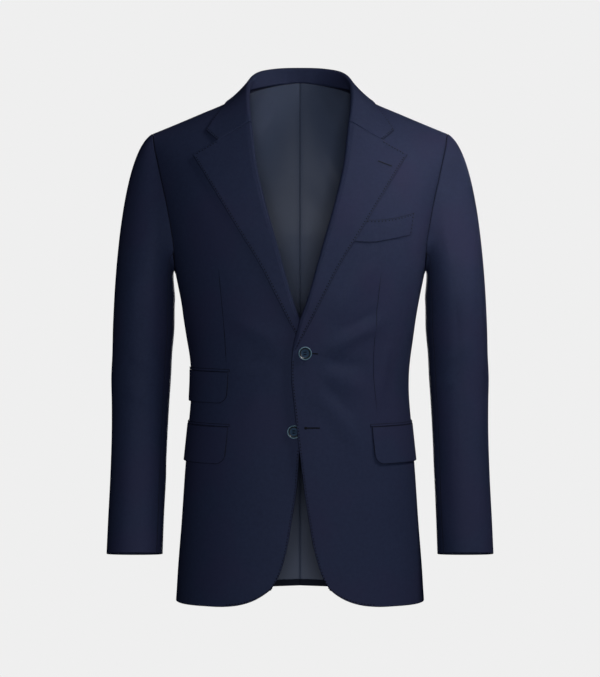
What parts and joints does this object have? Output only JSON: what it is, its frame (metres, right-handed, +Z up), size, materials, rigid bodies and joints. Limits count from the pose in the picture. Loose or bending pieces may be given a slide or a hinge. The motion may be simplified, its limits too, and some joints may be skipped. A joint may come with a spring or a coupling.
{
  "type": "suit jacket",
  "caption": "Single-breasted notch-lapel suit jacket, filled out as when worn, with open neck, cuffs and hem, flap pockets and a chest welt.",
  "frame": {"origin": "the nape: middle of the back neck seam, where the jacket rests on the wearer", "axes": "+Z up, the front faces -Y, the wearer's left is +X"},
  "size_m": [0.5804, 0.2556, 0.806],
  "materials": {
    "navy_worsted": "matte worsted wool suiting",
    "slate_lining": "smooth satin-faced lining",
    "navy_button": "polished resin with a raised rim"
  },
  "bodies": {
    "root": {"front_left": "navy_worsted", "front_right": "navy_worsted", "side_left": "navy_worsted", "side_right": "navy_worsted", "back_left": "navy_worsted", "back_right": "navy_worsted", "lapel_left": "navy_worsted", "lapel_right": "navy_worsted", "collar": "navy_worsted", "sleeve_top_left": "navy_worsted", "sleeve_top_right": "navy_worsted", "sleeve_under_left": "navy_worsted", "sleeve_under_right": "navy_worsted", "hip_flap_left": "navy_worsted", "hip_flap_right": "navy_worsted", "hip_jet_left": "navy_worsted", "hip_jet_right": "navy_worsted", "ticket_flap": "navy_worsted", "ticket_jet": "navy_worsted", "chest_welt": "navy_worsted", "lining_back_left": "slate_lining", "lining_back_right": "slate_lining", "lining_side_left": "slate_lining", "lining_side_right": "slate_lining", "button_upper": "navy_button", "button_lower": "navy_button"}
  },
  "joints": []
}
